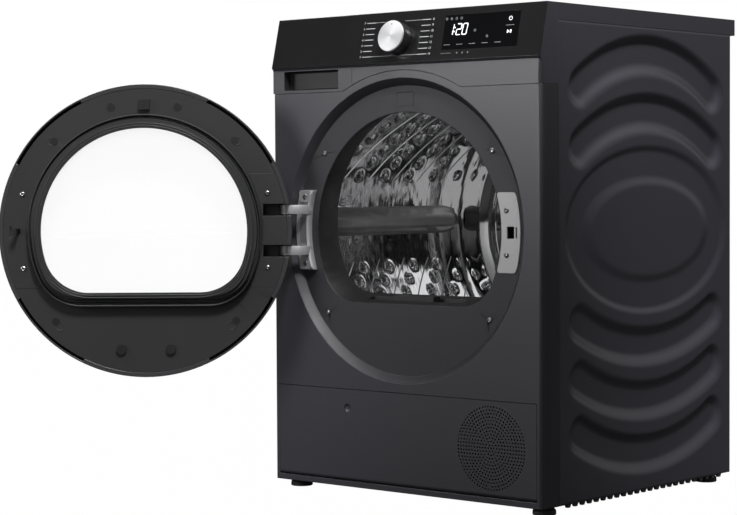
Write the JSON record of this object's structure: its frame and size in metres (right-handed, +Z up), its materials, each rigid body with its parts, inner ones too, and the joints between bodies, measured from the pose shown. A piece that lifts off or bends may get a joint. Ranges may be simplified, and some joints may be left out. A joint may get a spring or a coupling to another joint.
{
  "type": "clothes dryer",
  "caption": "Free-standing front-loading clothes dryer with round glass door standing open, sloping control panel, water tank drawer, service flap, drum and heat pump.",
  "frame": {"origin": "on the floor, midway between the four feet", "axes": "+X to the machine's right as seen from in front, +Y to the rear, +Z up; the door stands open 139 degrees on its left hinge at rest"},
  "size_m": [0.9325, 0.9822, 0.845],
  "materials": {
    "anthracite_paint": "satin",
    "recess_plastic": "satin",
    "door_ring": "satin",
    "gloss_black": "gloss",
    "display_glass": "gloss",
    "window_glass": "gloss",
    "knob_metal": "spun",
    "seal_rubber": "matt",
    "screw_steel": "bright",
    "strike_metal": "satin",
    "hinge_metal": "satin",
    "drum_steel": "polished",
    "lifter_plastic": "satin",
    "inner_plastic": "satin",
    "tank_plastic": "satin",
    "galvanised_steel": "spangled",
    "felt": "matt",
    "belt_rubber": "matt",
    "foot_rubber": "matt",
    "board": "satin",
    "motor_metal": "cast",
    "compressor_paint": "gloss",
    "coil_aluminium": "finned",
    "pipe_copper": "bright",
    "latch_plastic": "satin"
  },
  "bodies": {
    "cabinet": {"base_pan": "galvanised_steel", "left_side_panel": "anthracite_paint", "right_side_panel": "anthracite_paint", "lid": "anthracite_paint", "front_panel": "anthracite_paint", "recess_plug": "recess_plastic", "upper_front_panel": "anthracite_paint", "control_fascia": "gloss_black", "display_window": "display_glass", "control_board": "board", "tank_housing": "inner_plastic", "front_bulkhead": "galvanised_steel", "drum_felt": "felt", "throat_collar": "inner_plastic", "rear_panel": "galvanised_steel", "bearing_bridge": "galvanised_steel", "rear_duct_cover": "galvanised_steel", "mains_inlet": "inner_plastic", "drain_spigot": "inner_plastic", "drive_belt": "belt_rubber", "motor": "motor_metal", "fan_housing": "inner_plastic", "compressor": "compressor_paint", "evaporator": "coil_aluminium", "condenser": "coil_aluminium", "refrigerant_pipes": "pipe_copper", "hinge_bracket": "hinge_metal", "strike_plate": "strike_metal", "front_screws": "screw_steel", "door_lock": "inner_plastic"},
    "door": {"door_outer_ring": "door_ring", "door_outer_glass": "window_glass", "door_inner_frame": "recess_plastic", "door_glass": "window_glass", "door_seal": "seal_rubber", "hinge_cover": "recess_plastic", "latch_cover": "recess_plastic", "hinge_pin": "screw_steel", "door_screws": "screw_steel", "door_buffers": "recess_plastic"},
    "hook": {"latch_hook": "latch_plastic"},
    "drum": {"drum_shell": "drum_steel", "drum_back": "drum_steel", "lifters": "lifter_plastic", "drum_shaft": "motor_metal"},
    "rotor": {"motor_shaft": "motor_metal", "fan_wheel": "inner_plastic"},
    "idler": {"idler_pulley": "inner_plastic"},
    "roller_left": {"drum_roller_left": "inner_plastic"},
    "roller_right": {"drum_roller_right": "inner_plastic"},
    "knob": {"program_knob": "knob_metal"},
    "tank": {"tank_front": "anthracite_paint", "tank_fascia": "gloss_black", "water_tank": "tank_plastic"},
    "filter": {"lint_filter": "inner_plastic"},
    "flap": {"service_flap": "anthracite_paint"},
    "leg_front_left": {"foot_front_left": "foot_rubber"},
    "leg_front_right": {"foot_front_right": "foot_rubber"},
    "leg_rear_left": {"foot_rear_left": "foot_rubber"},
    "leg_rear_right": {"foot_rear_right": "foot_rubber"}
  },
  "joints": [
    {"name": "door_hinge", "type": "hinge", "parent": "cabinet", "child": "door", "pos_m": [-0.247, -0.3185, 0.467], "axis": [0, 0, -1], "range_deg": [-139, 10]},
    {"name": "latch_hook_pivot", "type": "hinge", "parent": "door", "child": "hook", "pos_m": [-0.59686, -0.63853, 0.467], "axis": [0, 0, 1], "range_deg": [0, 6], "stiffness_Nm_per_rad": 0.4},
    {"name": "drum_spin", "type": "hinge", "parent": "cabinet", "child": "drum", "pos_m": [0, 0, 0.467], "axis": [0, 1, 0], "continuous": true},
    {"name": "motor_spin", "type": "hinge", "parent": "cabinet", "child": "rotor", "pos_m": [0.15, 0, 0.095], "axis": [0, 1, 0], "continuous": true},
    {"name": "idler_spin", "type": "hinge", "parent": "cabinet", "child": "idler", "pos_m": [0.03235, 0, 0.11625], "axis": [0, 1, 0], "continuous": true},
    {"name": "roller_left_spin", "type": "hinge", "parent": "cabinet", "child": "roller_left", "pos_m": [-0.1758, 0, 0.21593], "axis": [0, 1, 0], "continuous": true},
    {"name": "roller_right_spin", "type": "hinge", "parent": "cabinet", "child": "roller_right", "pos_m": [0.1758, 0, 0.21593], "axis": [0, 1, 0], "continuous": true},
    {"name": "knob_turn", "type": "hinge", "parent": "cabinet", "child": "knob", "pos_m": [-0.006, -0.28704, 0.79604], "axis": [0, -0.972, 0.2351], "continuous": true},
    {"name": "tank_slide", "type": "slide", "parent": "cabinet", "child": "tank", "axis": [0, -1, 0], "range_m": [0, 0.4]},
    {"name": "filter_lift", "type": "slide", "parent": "cabinet", "child": "filter", "axis": [0, 0, 1], "range_m": [0, 0.115]},
    {"name": "flap_hinge", "type": "hinge", "parent": "cabinet", "child": "flap", "pos_m": [0, -0.2855, 0.032], "axis": [1, 0, 0], "range_deg": [0, 90]},
    {"name": "foot_front_left_turn", "type": "hinge", "parent": "cabinet", "child": "leg_front_left", "pos_m": [-0.273, -0.25, 0], "axis": [0, 0, 1], "continuous": true},
    {"name": "foot_front_right_turn", "type": "hinge", "parent": "cabinet", "child": "leg_front_right", "pos_m": [0.273, -0.25, 0], "axis": [0, 0, 1], "continuous": true},
    {"name": "foot_rear_left_turn", "type": "hinge", "parent": "cabinet", "child": "leg_rear_left", "pos_m": [-0.273, 0.25, 0], "axis": [0, 0, 1], "continuous": true},
    {"name": "foot_rear_right_turn", "type": "hinge", "parent": "cabinet", "child": "leg_rear_right", "pos_m": [0.273, 0.25, 0], "axis": [0, 0, 1], "continuous": true}
  ],
  "couplings": [
    {"joint": "motor_spin", "follows": "drum_spin", "ratio": 31.8},
    {"joint": "idler_spin", "follows": "drum_spin", "ratio": -15.9},
    {"joint": "roller_left_spin", "follows": "drum_spin", "ratio": -14.31},
    {"joint": "roller_right_spin", "follows": "drum_spin", "ratio": -14.31}
  ]
}
